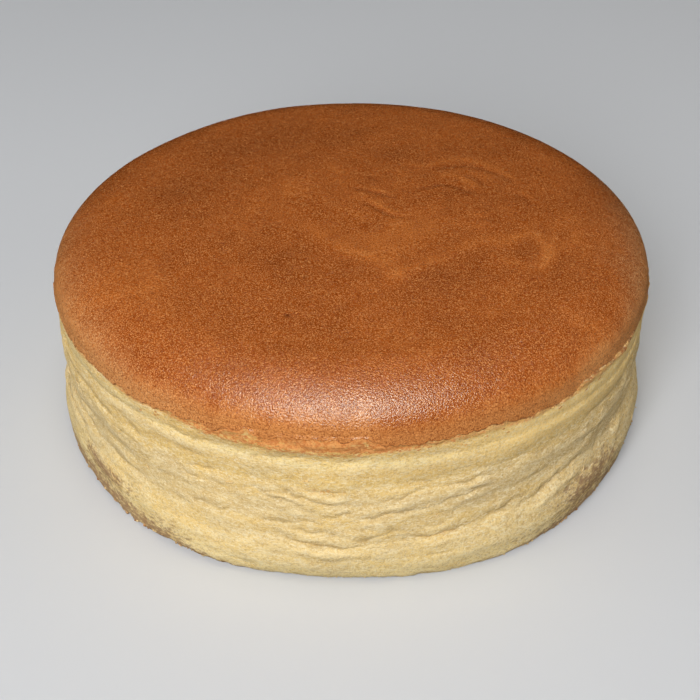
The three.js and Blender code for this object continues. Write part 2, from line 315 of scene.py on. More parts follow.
# ---- floor and lights, in metres and watts. A light looks at the cake from its azimuth and elevation.
FLOOR_HALF = 4.0
FLOOR_COLOUR = (211, 213, 217)
WORLD_STRENGTH = 0.14
LIGHTS_AIM = Vector((0, 0, 0.04))
Light = namedtuple(
    "Light", "name azimuth elevation distance size power colour diffuse glossy shadow",
    defaults=((1, 1, 1), True, True, True),
)
LIGHTS = [
    Light("key", -14, 33, 1.6, (0.7, 1.0), 24.5, glossy=False),
    Light("sheen", -4.5, 49, 1.6, (0.8, 0.9), 38.5, (0.84, 1, 0.92), diffuse=False),
    Light("overhead", 0, 84, 1.0, (0.3, 0.36), 1.2, (1, 0.97, 0.9)),
    Light("fill", -80, 20, 1.6, (0.7, 0.7), 2.8, glossy=False),
    Light("fill", 80, 20, 1.6, (0.7, 0.7), 2.3, (1, 0.9, 0.76), glossy=False),
    # these two cast no shadow towards the front
    Light("back", -140, 14, 3.0, (1.5, 1.5), 11, glossy=False, shadow=False),
    Light("back", 140, 14, 3.0, (1.5, 1.5), 11, glossy=False, shadow=False),
]


# ---- helpers: curves and noise
def smooth_step(low, high, value):
    share = np.clip((np.asarray(value, float) - low) / (high - low), 0, 1)
    return share * share * (3 - 2 * share)


def mix(a, b, share):
    return a + (b - a) * share


def bell(distance, spread):
    return np.exp(-((distance / spread) ** 2))


def between(at, table, column=1):
    """Straight lines through one column of a table, read at a place. Each row starts with its place."""
    columns = np.array(table, float).T
    return np.interp(at, columns[0], columns[column])


def curve_through(points, at):
    """The value at `at` on the smooth curve through (place, value) points."""
    xs, ys = np.array(points, float).T
    slopes = np.gradient(ys, xs)
    at = np.clip(at, xs[0], xs[-1])
    k = np.clip(np.searchsorted(xs, at) - 1, 0, len(xs) - 2)
    step = xs[k + 1] - xs[k]
    t = (at - xs[k]) / step
    return (
        (2 * t**3 - 3 * t**2 + 1) * ys[k]
        + (t**3 - 2 * t**2 + t) * step * slopes[k]
        + (3 * t**2 - 2 * t**3) * ys[k + 1]
        + (t**3 - t**2) * step * slopes[k + 1]
    )


def from_front(angle):
    """The angle in degrees, from -180 to 180."""
    return np.mod(np.degrees(angle) + 180, 360) - 180


def ring_angles(count):
    return 2 * math.pi * np.arange(count) / count


def spline_weights(t):
    return [(1 - t) ** 3 / 6, (3 * t**3 - 6 * t**2 + 4) / 6, (-3 * t**3 + 3 * t**2 + 3 * t + 1) / 6, t**3 / 6]


def lattice_noise(u, v, lattice, wrap):
    """Smooth noise of about -1 to 1 from a lattice of random numbers, at u and v in cells."""
    iu, iv = np.floor(u).astype(int), np.floor(v).astype(int)
    across, along = spline_weights(u - iu), spline_weights(v - iv)
    total = 0
    for j in range(4):
        row = np.clip(iv + j, 0, lattice.shape[0] - 1)
        for i in range(4):
            column = (iu + i) % lattice.shape[1] if wrap else np.clip(iu + i, 0, lattice.shape[1] - 1)
            total = total + across[i] * along[j] * lattice[row, column]
    return total * NOISE_GAIN


def ring_noise(angle, height, cells, tall, seed):
    """Noise that closes on itself round the cake, in cells: so many round it, each `tall` mm high."""
    lattice = np.random.default_rng(seed).uniform(-1, 1, (int(NOISE_TOP / tall) + 6, cells))
    turn = np.mod(angle / (2 * math.pi), 1.0)
    return lattice_noise(turn * cells, np.clip(height, 0, NOISE_TOP) / tall + 1, lattice, True)


def wall_noise(angle, height, layers):
    return sum(strength * ring_noise(angle, height, *layer) for strength, *layer in layers)


def edge_noise(angle, layers):
    return sum(strength * ring_noise(angle, 0 * angle, cells, 10, seed) for strength, cells, seed in layers)


def plan_noise(x, y, cell, seed):
    """Noise over the flattened-out top, in cells of this size."""
    count = int(2 * PLAN_REACH / cell) + 6
    lattice = np.random.default_rng(seed).uniform(-1, 1, (count, count))
    return lattice_noise((x + PLAN_REACH) / cell, (y + PLAN_REACH) / cell, lattice, False)


# ---- helpers: form
def wall_radius(height):
    """Radius of the wall without its folds."""
    heights, radii = np.array(WALL_STEPS).T
    k = np.clip(np.searchsorted(heights, height) - 1, 0, len(heights) - 2)
    share = smooth_step(0, 1, (height - heights[k]) / (heights[k + 1] - heights[k]))
    swell_height, spread, swell = UPPER_SWELL
    above = mix(radii[k], radii[k + 1], share) + swell * bell(height - swell_height, spread)
    inside = np.clip(1 - height / FOOT_HEIGHT, 0, 1)
    foot = mix(UNDERSIDE_RADIUS, radii[0], np.sqrt(1 - inside**2))
    return np.where(height < FOOT_HEIGHT, foot, above)


def top_height(radius):
    inset = np.clip((radius - SHOULDER_RADIUS + SHOULDER_REACH) / SHOULDER_REACH, 0, 1)
    shoulder = SHOULDER_RISE * np.sqrt(1 - inset**2)
    return SHOULDER_HEIGHT + shoulder + DOME_RISE * (1 - (radius / SHOULDER_RADIUS) ** 2)


def skin_edge(angle):
    """Height of the skin's torn lower edge."""
    return curve_through(SKIN_EDGE, from_front(angle)) + edge_noise(angle, EDGE_TEARS)


def sag(angle, height):
    """How far a fold of this height hangs down at this angle."""
    return between(height, SAG_BY_HEIGHT) * np.cos(SAGS * angle)


def placed(angle, radius, height):
    """Points in metres, with the cake's uneven foot and its tilt to one side."""
    foot = np.clip(1 - height / FOOT_WAVE_HEIGHT, 0, 1)
    outline = radius - FOOT_WAVE * foot * np.cos(FOOT_WAVES * angle)
    x = outline * np.sin(angle)
    y = -outline * np.cos(angle)
    z = height + SIDE_TILT * x * np.clip(height / SHOULDER_HEIGHT, 0, 1)
    return np.stack([x, y, z], -1) * METRE


# ---- helpers: meshes
def ring_quads(first, second, count):
    """Quads between two rings of `count` vertices that start at these numbers."""
    i = np.arange(count)
    j = (i + 1) % count
    return np.stack([first + i, first + j, second + j, second + i], -1)


def halving_faces(outer, inner, count):
    """Triangles between a ring of twice `count` vertices and one of `count`."""
    i = np.arange(count)
    a, b = inner + i, inner + (i + 1) % count
    c, m, d = outer + 2 * i, outer + 2 * i + 1, outer + (2 * i + 2) % (2 * count)
    return [face for corners in ((c, m, a), (m, b, a), (m, d, b)) for face in np.stack(corners, -1).tolist()]


def closed_tube(rows, sides):
    """Faces of a tube of so many rings, closed at both ends."""
    last = (rows - 1) * sides
    faces = [quad for low in range(0, last, sides) for quad in ring_quads(low, low + sides, sides).tolist()]
    return [*faces, list(reversed(range(sides))), list(range(last, last + sides))]


def make_object(name, vertices, faces, material, smooth=True):
    mesh = bpy.data.meshes.new(name)
    mesh.from_pydata(vertices.tolist(), [], faces)
    mesh.update()
    mesh.polygons.foreach_set("use_smooth", [smooth] * len(mesh.polygons))
    mesh.materials.append(material)
    piece = bpy.data.objects.new(name, mesh)
    bpy.context.scene.collection.objects.link(piece)
    return piece


def add_attribute(piece, name, values, hidden=0.0):
    """A number for each vertex, for the materials. The hidden vertices come last, after the given values."""
    values = np.ravel(values)
    rest = np.full(len(piece.data.vertices) - len(values), hidden)
    layer = piece.data.attributes.new(name, "FLOAT", "POINT")
    layer.data.foreach_set("value", np.concatenate([values, rest]).astype(np.float32))


def read_all(items, name, kind=int, each=1):
    values = np.zeros(len(items) * each, kind)
    items.foreach_get(name, values)
    return values


def mesh_layout(mesh):
    """The vertex at each face corner, each face's first corner and number of corners, and the vertices."""
    corners = read_all(mesh.loops, "vertex_index")
    starts = read_all(mesh.polygons, "loop_start")
    totals = read_all(mesh.polygons, "loop_total")
    return corners, starts, totals, read_all(mesh.vertices, "co", float, 3).reshape(-1, 3) / METRE


def set_unwrapping(mesh, uv):
    layer = mesh.uv_layers.new(name="OFBake")
    layer.data.foreach_set("uv", uv.ravel())


def belongs(piece):
    """The piece stands for the cake's solid, in one of its finishes."""
    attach(piece, "root")
    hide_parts(NODE)


# ---- the sponge
def wavy(turn, height, wander, phase):
    """Height of a crease that sags and wanders round the back, at this angle in degrees."""
    level = height + wander * math.sin(0.09 * turn + phase) + 0.4 * wander * math.sin(0.23 * turn + 2 * phase)
    return level - sag(math.radians(turn), height)


def back_folds():
    """Creases round the rest of the wall: long ones, then short ones between them."""
    draw = np.random.default_rng(40)
    folds = []
    for height, depth, reach in LONG_CREASES:
        phase = draw.uniform(0, 6)
        start = BACK_FROM
        while start < BACK_TO - 20:
            end = min(start + draw.uniform(70, 130), BACK_TO)
            points = [(turn, wavy(turn, height, 0.7, phase)) for turn in np.arange(start, end + 1, 6.0)]
            folds.append(Fold(points, depth * draw.uniform(0.75, 1.15), reach, draw.uniform(0, 0.5)))
            start = end - draw.uniform(4, 14)
            height = height + draw.uniform(-0.9, 0.9)
            phase = phase + draw.uniform(-0.6, 0.6)
    for _ in range(SHORT_CREASES):
        start = draw.uniform(BACK_FROM, BACK_TO - 20)
        end = min(start + draw.uniform(*SHORT_LENGTH), BACK_TO)
        height = draw.uniform(*SHORT_HEIGHTS)
        slope = draw.uniform(-0.07, 0.07)
        phase = draw.uniform(0, 6)
        turns = np.arange(start, end, 4.0)
        points = [(turn, wavy(turn, height, 0.5, phase) + slope * (turn - start)) for turn in turns]
        folds.append(Fold(points, draw.uniform(0.3, 0.75), draw.uniform(0.7, 1.0), draw.uniform(0, 0.4)))
    return folds


def hair_creases():
    """Short shallow creases all over the wall, along the sagging folds."""
    draw = np.random.default_rng(44)
    folds = []
    for _ in range(HAIR_CREASES):
        start = draw.uniform(0, 360)
        height = draw.uniform(*HAIR_HEIGHTS)
        slope = draw.uniform(-0.08, 0.08)
        points = []
        for turn in np.linspace(start, start + draw.uniform(*HAIR_LENGTH), 4):
            line = height - sag(math.radians(turn), height) + slope * (turn - start)
            points.append((turn, line + draw.uniform(-0.25, 0.25)))
        folds.append(Fold(points, draw.uniform(0.06, 0.2), draw.uniform(0.5, 0.9), 0.0))
    return folds


def fold_relief(angle, height):
    """What the folds do to the wall: push out, push down, painted shade close to a crease, and stain."""
    out, down, crease_shade, stain = (np.zeros_like(height) for _ in range(4))
    around = angle[0]
    front = from_front(around)
    back = np.mod(np.degrees(around), 360)
    wander = edge_noise(around, CREASE_WANDER)
    ragged = wall_noise(angle, height, CREASE_RAGGED)
    for number, fold in enumerate(FRONT_FOLDS + back_folds() + hair_creases()):
        turn = front if number < len(FRONT_FOLDS) else back
        first, last = fold.points[0][0], fold.points[-1][0]
        if last > 360:
            turn = back + 360 * (back < first - 1)
        columns = np.nonzero((turn >= first) & (turn <= last))[0]
        if not len(columns):
            continue
        here = turn[columns]
        line = curve_through(fold.points, here) + wander[(columns * (1 + number % 3)) % len(wander)]
        uneven = np.clip(0.65 + edge_noise(around[columns], [(0.8, 80, 100 + number)]), 0.05, 1.35)
        end = min(FOLD_END, (last - first) / 2)
        fade = smooth_step(0, end, here - first) * smooth_step(0, end, last - here) * uneven
        above = height[:, columns] - line + ragged[:, columns]
        closeness = np.exp(-np.sqrt(above**2 + 0.12) / fold.reach)
        depth = fold.depth * fade
        lip = LIP_SHARE * bell(above - 1.8 * fold.reach, 1.6 * fold.reach)
        roll = ROLL_SHARE * bell(above + 2.8 * fold.reach, 1.8 * fold.reach)
        out[:, columns] += depth * (lip + roll - CUT_SHARE * closeness)
        down[:, columns] += depth * DROOP_SHARE * bell(above - 0.7 * fold.reach, 0.9 * fold.reach)
        # painted shade along the crease line, fainter for the broad folds
        strength = min(1.0, 0.35 + fold.depth) * (1.0 if fold.reach < 1.5 else 0.3)
        near = fade * bell(above + 0.1, 0.5) * strength
        crease_shade[:, columns] = np.maximum(crease_shade[:, columns], near)
        blotchy = smooth_step(-0.2, 0.6, edge_noise(around[columns], [(1.0, 46, 300 + number)]))
        stained = fold.stain * fade * blotchy * bell(above + 0.2, 1.0)
        stain[:, columns] = np.maximum(stain[:, columns], stained)
    return out, down, crease_shade, stain


def blurred(values, rows, columns):
    """Averages over this many rows and columns to each side; the columns close on themselves."""
    tall = np.pad(values, ((rows, rows), (0, 0)), mode="edge")
    tall = np.mean([tall[i : i + len(values)] for i in range(2 * rows + 1)], axis=0)
    return np.mean([np.roll(tall, i, axis=1) for i in range(-columns, columns + 1)], axis=0)


def wall_rows():
    heights = [np.linspace(low, high, count, endpoint=False) for low, high, count in WALL_ROWS]
    return np.concatenate([*heights, [WALL_ROWS[-1][1]]])


def make_sponge(material):
    """The sponge, and its finished wall as row heights and radii for the loose bits to sit on."""
    heights = wall_rows()
    turns = ring_angles(WALL_COLUMNS)
    angle, height = np.meshgrid(turns, heights)
    turned = from_front(turns)[None, :]
    level = height + sag(angle, height)
    side = smooth_step(SIDE_FROM, SIDE_FULL, np.abs(turned))
    right = smooth_step(8, 34, turned) * smooth_step(150, 110, turned)

    out, down, crease_shade, stain = fold_relief(angle, height)
    out += side * between(height, SIDE_PROFILE)
    out += right * (1 - 0.7 * smooth_step(48, 74, turned)) * between(height, RIGHT_PROFILE)
    for low, high, bulge in BANDS:
        share = np.clip((level - low) / (high - low), 0, 1)
        out += bulge * np.sin(math.pi * share) ** BAND_ROUNDNESS
    out += wall_noise(angle, height, WALL_CRUMB) + wall_noise(angle, level, FOLDED_CRUMB)

    # the peeled band, and the wall's upper end, which runs in behind the skin
    below = skin_edge(turns) - height
    reach = between(turned, PEELED) + 1.4 + edge_noise(turns, PEELED_WANDER)
    peeled = smooth_step(-0.2, 0.3, below) * smooth_step(-1.0, 0.6, height - reach)
    out += peeled * (0.3 * wall_noise(angle, height, PEELED_STREAKS) + 0.15)
    out -= SPONGE_INSET * smooth_step(0.3, -0.9, below)

    # the ragged foot
    toast_and_shade_height = between(turned, TOAST_AND_SHADE_REACH)
    crumbs = np.minimum(wall_noise(angle, height, FOOT_CRUMB), 0.4)
    ragged = wall_noise(angle, height, FOOT_WAVER) + 0.5 * crumbs
    out += (1 - smooth_step(0.0, 2.6, height)) * ragged * (0.8 + 0.06 * toast_and_shade_height)
    # local relief, for painted light on the ridges and painted shade in the hollows
    painted_relief_shading = np.clip((out - blurred(out, 6, 5)) / 0.45, -1, 1)

    radius = wall_radius(height) + out
    lowered = np.maximum(height - down * smooth_step(0.0, 1.5, height), 0)
    rows, columns = height.shape
    vertices = [placed(angle, radius, lowered).reshape(-1, 3)]
    faces = [ring_quads(row * columns, (row + 1) * columns, columns) for row in range(rows - 1)]

    # a hidden cap under the skin, and the underside
    total = rows * columns
    top_ring = total - columns
    for ring_radius in CAP_RADII:
        vertices.append(placed(turns, ring_radius, top_height(ring_radius) - CAP_DROP))
        faces.append(ring_quads(top_ring, total, columns))
        top_ring = total
        total += columns
    low_ring = 0
    for ring_radius in UNDERSIDE_RADII:
        vertices.append(placed(turns, ring_radius, 0.0))
        faces.append(ring_quads(total, low_ring, columns))
        low_ring = total
        total += columns
    faces = [face for block in faces for face in block.tolist()]
    faces.append(list(range(top_ring, top_ring + columns)))
    faces.append(list(reversed(range(low_ring, low_ring + columns))))
    piece = make_object("sponge", np.concatenate(vertices), faces, material)

    # the toasted foot, and painted shade low on the wall
    toast_and_shade = 1 - smooth_step(0.15, 1.0, height / toast_and_shade_height)
    for at_turn, at_height, wide, tall, strength in SCORCH_AND_SHADE:
        toast_and_shade = np.maximum(toast_and_shade, strength * bell(turned - at_turn, wide) * bell(height - at_height, tall))
    # painted light: a pale warm band on the right under the skin, where the wall faces down and lies in shade
    painted_light_under_skin = smooth_step(8, 30, turned) * smooth_step(120, 90, turned)
    painted_light_under_skin = painted_light_under_skin * smooth_step(38, 44, height) * smooth_step(55, 51, height)
    soft = smooth_step(-0.2, 0.2, below) * smooth_step(-1.2, 1.2, height - reach)
    brown_height = between(turned, BROWN_HEIGHT) + edge_noise(turns, BROWN_WANDER)
    brown = 0.45 + 0.6 * bell(height - brown_height, 1.4) + 0.6 * smooth_step(2.8, 1.2, below)
    add_attribute(piece, "level", level - 4.0 * side * smooth_step(40, 50, level), 5.0)
    add_attribute(piece, "painted_light_under_skin", painted_light_under_skin)
    add_attribute(piece, "crumbly", right * (1 - 1.4 * painted_light_under_skin))
    add_attribute(piece, "below_skin", below, 30.0)
    add_attribute(piece, "peeled", soft)
    add_attribute(piece, "browned", soft * between(turned, PEELED, 2) * brown)
    add_attribute(piece, "crease_shade", crease_shade)
    add_attribute(piece, "painted_relief_shading", painted_relief_shading)
    add_attribute(piece, "stain", stain)
    add_attribute(piece, "toast_and_shade", toast_and_shade, 0.6)
    unwrap_sponge(piece.data, rows, columns)
    return piece, (heights, radius)


def unwrap_sponge(mesh, rows, columns):
    """The wall in strips one over another, with the two discs small in what is left."""
    corners, starts, totals, vertices = mesh_layout(mesh)
    face_of = np.repeat(np.arange(len(totals)), totals)
    on_wall = (np.arange(len(totals)) < (rows - 1) * columns)[face_of]

    per_strip = columns / STRIPS
    first_column = (corners[starts] % columns)[face_of]
    column = corners % columns
    column = np.where(column < first_column, column + columns, column)
    strip = np.minimum((first_column // per_strip).astype(int), STRIPS - 1)
    scale = (1 - 2 * UV_MARGIN) / (2 * math.pi * WIDEST / STRIPS)
    u = UV_MARGIN + (column - strip * per_strip) / (per_strip + 1) * (1 - 2 * UV_MARGIN)
    tall = WALL_ROWS[-1][1] * scale
    x, y, z = vertices[corners].T
    v = UV_MARGIN + strip * (tall + UV_MARGIN) + z * scale

    left = 1 - STRIPS * (tall + UV_MARGIN) - 2 * UV_MARGIN
    disc = left / 2 / WIDEST
    middle_u = np.where(z > SHOULDER_HEIGHT / 2, left / 2, 1.5 * left) + UV_MARGIN
    disc_uv = np.stack([middle_u + x * disc, 1 - UV_MARGIN - left / 2 + y * disc], -1)
    set_unwrapping(mesh, np.where(on_wall[:, None], np.stack([u, v], -1), disc_uv))


# ---- the browned skin
def from_polyline(x, y, points):
    """Distance of each point from a polyline."""
    best = np.full(np.shape(x), np.inf)
    for (ax, ay), (bx, by) in zip(points, points[1:]):
        dx, dy = bx - ax, by - ay
        t = np.clip(((x - ax) * dx + (y - ay) * dy) / (dx * dx + dy * dy), 0, 1)
        best = np.minimum(best, np.hypot(x - ax - t * dx, y - ay - t * dy))
    return best


def rounded(points, steps=6):
    """The same polyline with its corners rounded."""
    if len(points) == 2:
        return points
    at = np.linspace(0, len(points) - 1, steps * (len(points) - 1) + 1)
    xs, ys = (curve_through(list(enumerate(values)), at) for values in zip(*points))
    return list(zip(xs, ys))


def stroke_fade(x, y, stroke):
    """Strokes thin out towards both ends."""
    ends = (np.hypot(x - end_x, y - end_y) for end_x, end_y in (stroke.points[0], stroke.points[-1]))
    return math.prod(smooth_step(-stroke.width, 2.5 * stroke.width, away) for away in ends)


def top_pattern(x, y):
    """Tone and relief of the swirls, blots and dents, over the plan."""
    warp_x = x + SWIRL_WARP * plan_noise(x, y, SWIRL_WARP_CELL, 61)
    warp_y = y + SWIRL_WARP * plan_noise(x, y, SWIRL_WARP_CELL, 62)
    tone, relief, dents = (np.zeros_like(x) for _ in range(3))
    for stroke in SWIRLS:
        strength = bell(from_polyline(warp_x, warp_y, rounded(stroke.points)), stroke.width)
        strength = strength * stroke_fade(x, y, stroke)
        clear = mix(1.3, 1.0, smooth_step(1.8, 2.6, stroke.width))
        tone += clear * stroke.tone * strength
        relief += 1.3 * stroke.relief * strength
    for mx, my, spread, amount in BLOTS:
        tone += amount * bell(np.hypot(warp_x - mx, warp_y - my), spread)
    for mx, my, spread, amount in BLEMISHES:
        dents = np.maximum(dents, amount * bell(np.hypot(x - mx, y - my), spread))
    return tone, relief - 0.25 * dents, dents


def skin_rings(edge):
    """The outer side's rings, from the torn edge to the middle: angles, radius and height of each."""
    turns = ring_angles(SKIN_COLUMNS)
    rings = []
    for row in range(SKIN_LIP_ROWS):
        share = row / SKIN_LIP_ROWS
        height = mix(edge, SHOULDER_HEIGHT, share)
        proud = SKIN_OVERHANG * (1 - smooth_step(0, 1, share)) + 0.1 * bell(share, 0.12)
        rings.append((turns, wall_radius(height) + proud, height))
    for row in range(SKIN_SHOULDER_ROWS):
        turn = math.pi / 2 * row / SKIN_SHOULDER_ROWS
        radius = SHOULDER_RADIUS - SHOULDER_REACH * (1 - math.cos(turn))
        rings.append((turns[::SKIN_SHOULDER_THIN], radius, top_height(radius)))
    radius = SHOULDER_RADIUS - SHOULDER_REACH
    for inner, count, thin in SKIN_DOME_STEPS:
        for ring_radius in np.linspace(radius, inner, count, endpoint=False):
            rings.append((turns[::thin], ring_radius, top_height(ring_radius)))
        radius = inner
    rings.append((turns[::thin], radius, top_height(radius)))
    return [np.broadcast_arrays(*ring) for ring in rings]


def make_skin(material):
    turns = ring_angles(SKIN_COLUMNS)
    edge = skin_edge(turns)
    rings = skin_rings(edge)
    angle, radius, height = (np.concatenate(parts) for parts in zip(*rings))
    counts = [len(ring[0]) for ring in rings]
    starts = np.concatenate([[0], np.cumsum(counts)[:-1]])

    # flattened distance from the middle, for noise and for the unwrapping
    mean_radius, mean_height = (np.array([ring[part].mean() for ring in rings]) for part in (1, 2))
    steps = np.hypot(np.diff(mean_radius), np.diff(mean_height))
    flat = np.repeat(np.concatenate([np.cumsum(steps[::-1])[::-1], [0]]) + mean_radius[-1], counts)
    flat_x, flat_y = flat * np.sin(angle), -flat * np.cos(angle)

    tone, relief, dents = top_pattern(radius * np.sin(angle), -radius * np.cos(angle))
    for strength, cell, seed in SKIN_RELIEF:
        relief = relief + strength * plan_noise(flat_x, flat_y, cell, seed)
    lean = np.clip((radius - SHOULDER_RADIUS + SHOULDER_REACH) / SHOULDER_REACH, 0, 1) ** 2
    lean = np.where(height < SHOULDER_HEIGHT, 1.0, lean)
    vertices = [placed(angle, radius + relief * lean, height + relief * (1 - lean))]

    faces = []
    for start, following, count, after in zip(starts, starts[1:], counts, counts[1:]):
        if count == after:
            faces.extend(ring_quads(start, following, count).tolist())
        else:
            faces.extend(halving_faces(start, following, after))
    faces.append([int(starts[-1] + i) for i in range(counts[-1])])

    # the torn edge turns under, and the inner side follows the outer one
    inner_rings = [
        (wall_radius(edge) + SKIN_OVERHANG - 0.1, edge - 0.28),
        (wall_radius(edge) + SKIN_OVERHANG - SKIN_THICKNESS, edge - 0.1),
        (wall_radius(edge) - 0.3, edge + 1.2),
        (SHOULDER_RADIUS - 1.2, SHOULDER_HEIGHT),
    ]
    for ring_radius in SKIN_INSIDE_RADII:
        inner_rings.append((ring_radius, top_height(ring_radius) - SKIN_INSIDE_DROP))
    previous, total = 0, len(angle)
    for ring_radius, ring_height in inner_rings:
        vertices.append(placed(turns, ring_radius, ring_height))
        faces.extend(ring_quads(total, previous, SKIN_COLUMNS).tolist())
        previous = total
        total += SKIN_COLUMNS
    faces.append([previous + i for i in reversed(range(SKIN_COLUMNS))])

    piece = make_object("browned_skin", np.concatenate(vertices), faces, material)
    turned = from_front(angle)
    above = height - np.interp(np.mod(angle, 2 * math.pi), turns, edge, period=2 * math.pi)
    # painted sheen on the rim, fading out upwards from the edge
    pale = between(turned, PAINTED_RIM_SHEEN) * smooth_step(1, 0.35, above / between(turned, PAINTED_RIM_SHEEN, 2))
    for name, values in (("tone", tone), ("blemish", dents), ("above_edge", above), ("painted_rim_sheen", pale)):
        add_attribute(piece, name, values)
    unwrap_skin(piece.data, flat, angle)
    return piece


def unwrap_skin(mesh, flat, angle):
    """The outer side as one disc, the inner side as a small disc in a corner."""
    corners, starts, totals, vertices = mesh_layout(mesh)
    across = (0.5 - UV_MARGIN) * flat / flat.max()
    disc = np.stack([0.5 + across * np.sin(angle), 0.5 - across * np.cos(angle)], -1)
    corner = vertices[:, :2] / WIDEST * UV_CORNER + UV_CORNER + UV_MARGIN
    outside = np.repeat(np.maximum.reduceat(corners, starts) < len(flat), totals)[:, None]
    outer = np.concatenate([disc, corner[len(flat) :]])
    set_unwrapping(mesh, np.where(outside, outer[corners], corner[corners]))


# ---- loose bits
def lump(draw, size, sides=7):
    """An uneven little lump round the origin, as vertices and faces."""
    stretch = draw.uniform(0.6, 1.2, 3) * size / 2
    vertices = []
    for level, wide in LUMP_RINGS:
        for turn in ring_angles(sides):
            push = wide * draw.uniform(0.75, 1.2)
            vertices.append([math.cos(turn) * push, math.sin(turn) * push, level * draw.uniform(0.85, 1.1)])
    return np.array(vertices) * stretch, closed_tube(len(LUMP_RINGS), sides)


def tumbled(vertices, draw):
    """The same vertices, turned at random."""
    matrix, _ = np.linalg.qr(draw.normal(size=(3, 3)))
    if np.linalg.det(matrix) < 0:
        matrix[:, 0] = -matrix[:, 0]
    return vertices @ matrix.T


def surface_radius(surface, angle, height):
    """Radius of the finished wall at this angle and these heights."""
    heights, radii = surface
    column = int(np.mod(angle / (2 * math.pi), 1.0) * radii.shape[1])
    return np.interp(height, heights, radii[:, column])


def wall_point(surface, angle, height, proud):
    radius = surface_radius(surface, angle, height) + proud
    return placed(np.array(angle), radius, np.array(height)) / METRE


def make_scattered(name, bits, material):
    """One piece from many bits, each given as vertices, faces and tint."""
    vertices, faces, tints = [], [], []
    start = 0
    for points, shape, tint in bits:
        vertices.append(points)
        faces.extend([start + i for i in face] for face in shape)
        tints.append(np.full(len(points), float(tint)))
        start += len(points)
    piece = make_object(name, np.concatenate(vertices) * METRE, faces, material)
    add_attribute(piece, "tint", np.concatenate(tints))
    return piece


def make_crumbs(surface, material):
    """Crumbs on the wall, half of them along the foot."""
    draw = np.random.default_rng(70)
    bits = []
    for _ in range(CRUMBS):
        angle = draw.uniform(0, 2 * math.pi)
        low = draw.random() < 0.5
        height = draw.uniform(0.4, 2.2) if low else draw.uniform(3, 50)
        toasted = between(from_front(angle), TOAST_AND_SHADE_REACH) / 12
        size = draw.uniform(0.35, 0.8 + 0.7 * toasted) if low else draw.uniform(0.3, 0.6)
        points, faces = lump(draw, size)
        points = tumbled(points, draw) + wall_point(surface, angle, height, draw.uniform(-0.3, 0.0) * size)
        points[:, 2] = np.maximum(points[:, 2], 0)
        bits.append((points, faces, draw.uniform(0.0, 1.0) * toasted if low else draw.uniform(0, 0.25)))
    return make_scattered("crumbs", bits, material)


def thread(points, radius, sides=5):
    """A thin closed tube along points, tapering at both ends."""
    points = np.array(points)
    tangents = np.gradient(points, axis=0)
    tangents /= np.linalg.norm(tangents, axis=1)[:, None]
    side = np.cross(tangents, [0.3, 0.2, 0.93])
    side /= np.linalg.norm(side, axis=1)[:, None]
    up = np.cross(side, tangents)
    taper = radius * (0.35 + 0.65 * np.sin(math.pi * np.linspace(0, 1, len(points))) ** 0.5)
    vertices = []
    for point, s, u, wide in zip(points, side, up, taper):
        for turn in ring_angles(sides):
            vertices.append(point + wide * (math.cos(turn) * s + math.sin(turn) * u))
    return np.array(vertices), closed_tube(len(points), sides)


def make_fibres(surface, material):
    """Short fibres that arch off the wall."""
    draw = np.random.default_rng(80)
    bits = []
    places = [(math.radians(turn), height) for turn, height in FRONT_FIBRES]
    places += [(draw.uniform(0, 2 * math.pi), draw.uniform(4, 46)) for _ in range(FIBRES)]
    for angle, height in places:
        length = draw.uniform(1.4, 3.4)
        slant = draw.uniform(-1.1, 1.1)
        bow = draw.uniform(0.15, 0.6)
        path = []
        for share in np.linspace(-0.5, 0.5, 7):
            around = angle + share * length * math.cos(slant) / SHOULDER_RADIUS
            lift = bow * (1 - 4 * share**2)
            path.append(wall_point(surface, around, height + share * length * math.sin(slant), lift))
        bits.append((*thread(path, draw.uniform(0.09, 0.17)), 0))
    return make_scattered("fibres", bits, material)


def make_flakes(surface, material):
    """Thin torn flakes of skin and pale film under the skin's edge, closer together at the front left."""
    draw = np.random.default_rng(90)
    bits = []
    for _ in range(FLAKES):
        angle = draw.uniform(0, 2 * math.pi) if draw.random() < 0.72 else math.radians(draw.uniform(-40, 12))
        height = float(skin_edge(np.array([angle]))[0]) - draw.uniform(0.2, 4.6)
        length, tall = draw.uniform(0.5, 1.7), draw.uniform(0.2, 0.55)
        points, shape = lump(draw, 2.0, 9)
        points = points / np.abs(points).max(0)
        across = points[:, 0] * length / 2
        up = points[:, 1] * tall / 2 + across * draw.uniform(-0.3, 0.3)
        thick = points[:, 2] * draw.uniform(0.07, 0.12)
        lift = 0.15 * draw.random() * (points[:, 1] < 0)
        radius = surface_radius(surface, angle, height + up) + 0.06 + lift + thick
        points = placed(angle + across / SHOULDER_RADIUS, radius, height + up) / METRE
        bits.append((points, [face[::-1] for face in shape], draw.uniform(0.0, 1.0)))
    return make_scattered("rim_flakes", bits, material)


# ---- materials
def from_srgb(colour):
    """A colour of 0 to 255 values as the shader's linear one."""
    values = [channel / 255 for channel in colour]
    return tuple(v / 12.92 if v <= 0.04045 else ((v + 0.055) / 1.055) ** 2.4 for v in values) + (1.0,)


